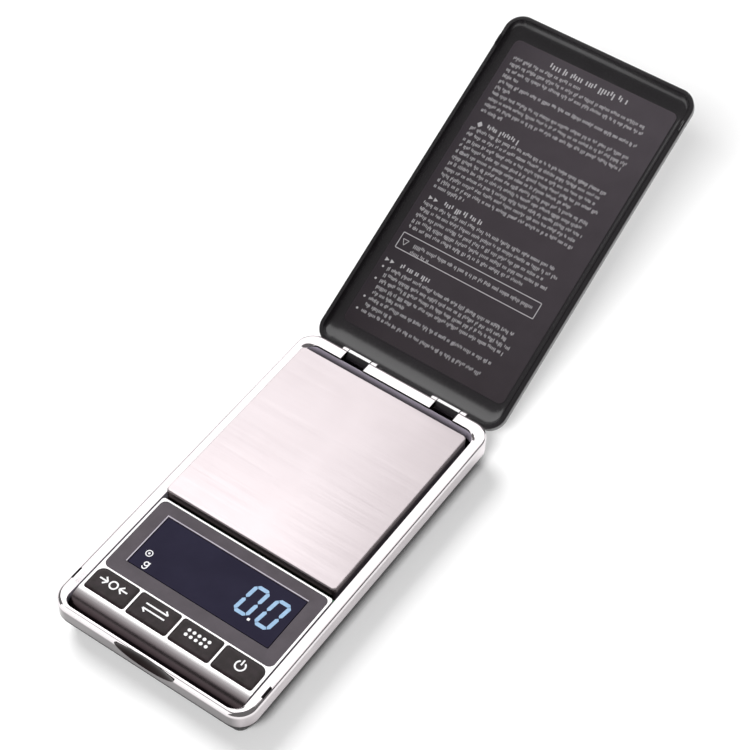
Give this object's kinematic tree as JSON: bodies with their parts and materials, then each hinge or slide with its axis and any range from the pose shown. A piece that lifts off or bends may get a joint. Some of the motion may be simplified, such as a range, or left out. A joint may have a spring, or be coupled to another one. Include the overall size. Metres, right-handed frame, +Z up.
{
  "type": "digital pocket scale",
  "caption": "Flat pocket weighing scale with a hinged flip lid, a raised steel weighing platform, a liquid crystal window and a row of push keys.",
  "frame": {"origin": "centre of the footprint of the whole scale with its lid open, on the plane the rubber feet rest on", "axes": "+X to the right as seen by the user, +Y from the keys back to the lid hinge and along the opened lid, +Z up"},
  "size_m": [0.065, 0.2228, 0.0621],
  "materials": {
    "black_plastic": "smooth black ABS",
    "lid_plastic": "polished black ABS",
    "chrome_plating": "bright chrome plated plastic",
    "key_plastic": "fine textured black",
    "panel_plastic": "satin plum grey",
    "window_plastic": "clear dark tint",
    "lcd_glass": "dark",
    "white_plastic": "diffuse white",
    "grey_plastic": "plain",
    "elastomer": "zebra strip",
    "circuit_board": "green solder mask",
    "chip_black": "moulded",
    "tin": "tinned",
    "ceramic_brown": "plain",
    "steel": "zinc plated",
    "tray_steel": "fine brushed stainless",
    "load_cell_aluminium": "machined",
    "gauge_film": "polyimide",
    "foot_rubber": "matte",
    "battery_jacket": "printed jacket",
    "spring_steel": "nickel plated",
    "red_wire": "insulation",
    "black_wire": "insulation",
    "sensor_wire": "insulation",
    "label_film": "black film with grey print"
  },
  "bodies": {
    "body": {"base_shell": "black_plastic", "rubber_feet": "foot_rubber", "case_screws": "steel", "chrome_frame": "chrome_plating", "left_hinge_pin": "steel", "right_hinge_pin": "steel", "key_deck": "chrome_plating", "deck_screws": "steel", "display_panel": "panel_plastic", "display_window": "window_plastic", "lcd_glass": "lcd_glass", "lcd_backlight": "white_plastic", "lcd_holder": "grey_plastic", "lcd_connector_strip": "elastomer", "switch_bodies": "tin", "main_pcb": "circuit_board", "microcontroller": "chip_black", "converter_chip": "chip_black", "crystal": "tin", "capacitors": "ceramic_brown", "front_battery": "battery_jacket", "rear_battery": "battery_jacket", "battery_springs": "spring_steel", "battery_contact_plates": "spring_steel", "red_battery_wire": "red_wire", "black_battery_wire": "black_wire", "load_cell": "load_cell_aluminium", "strain_gauges": "gauge_film", "load_cell_spacer": "steel", "load_cell_screws": "steel", "load_cell_wires": "sensor_wire", "overload_stop_screw": "steel"},
    "lid": {"lid_shell": "lid_plastic", "lid_label": "label_film"},
    "platform": {"weighing_tray": "tray_steel", "tray_carrier": "grey_plastic", "carrier_screws": "steel"},
    "battery_door": {"battery_door": "black_plastic"},
    "tare_button": {"tare_key": "key_plastic", "tare_switch_plunger": "white_plastic"},
    "unit_button": {"unit_key": "key_plastic", "unit_switch_plunger": "white_plastic"},
    "count_button": {"count_key": "key_plastic", "count_switch_plunger": "white_plastic"},
    "power_button": {"power_key": "key_plastic", "power_switch_plunger": "white_plastic"}
  },
  "joints": [
    {"name": "lid_hinge", "type": "hinge", "parent": "body", "child": "lid", "pos_m": [0, 0.00531, 0.0116], "axis": [1, 0, 0], "range_deg": [0, 153.2]},
    {"name": "platform_press", "type": "slide", "parent": "body", "child": "platform", "axis": [0, 0, -1], "range_m": [0, 0.00035], "stiffness_N_per_m": 3000, "springref_m": -0.0003},
    {"name": "battery_door_slide", "type": "slide", "parent": "body", "child": "battery_door", "axis": [0, 1, 0], "range_m": [0, 0.03]},
    {"name": "tare_key_press", "type": "slide", "parent": "body", "child": "tare_button", "axis": [0, 0, -1], "range_m": [0, 0.0004], "stiffness_N_per_m": 1500, "springref_m": -0.0002},
    {"name": "unit_key_press", "type": "slide", "parent": "body", "child": "unit_button", "axis": [0, 0, -1], "range_m": [0, 0.0004], "stiffness_N_per_m": 1500, "springref_m": -0.0002},
    {"name": "count_key_press", "type": "slide", "parent": "body", "child": "count_button", "axis": [0, 0, -1], "range_m": [0, 0.0004], "stiffness_N_per_m": 1500, "springref_m": -0.0002},
    {"name": "power_key_press", "type": "slide", "parent": "body", "child": "power_button", "axis": [0, 0, -1], "range_m": [0, 0.0004], "stiffness_N_per_m": 1500, "springref_m": -0.0002}
  ]
}
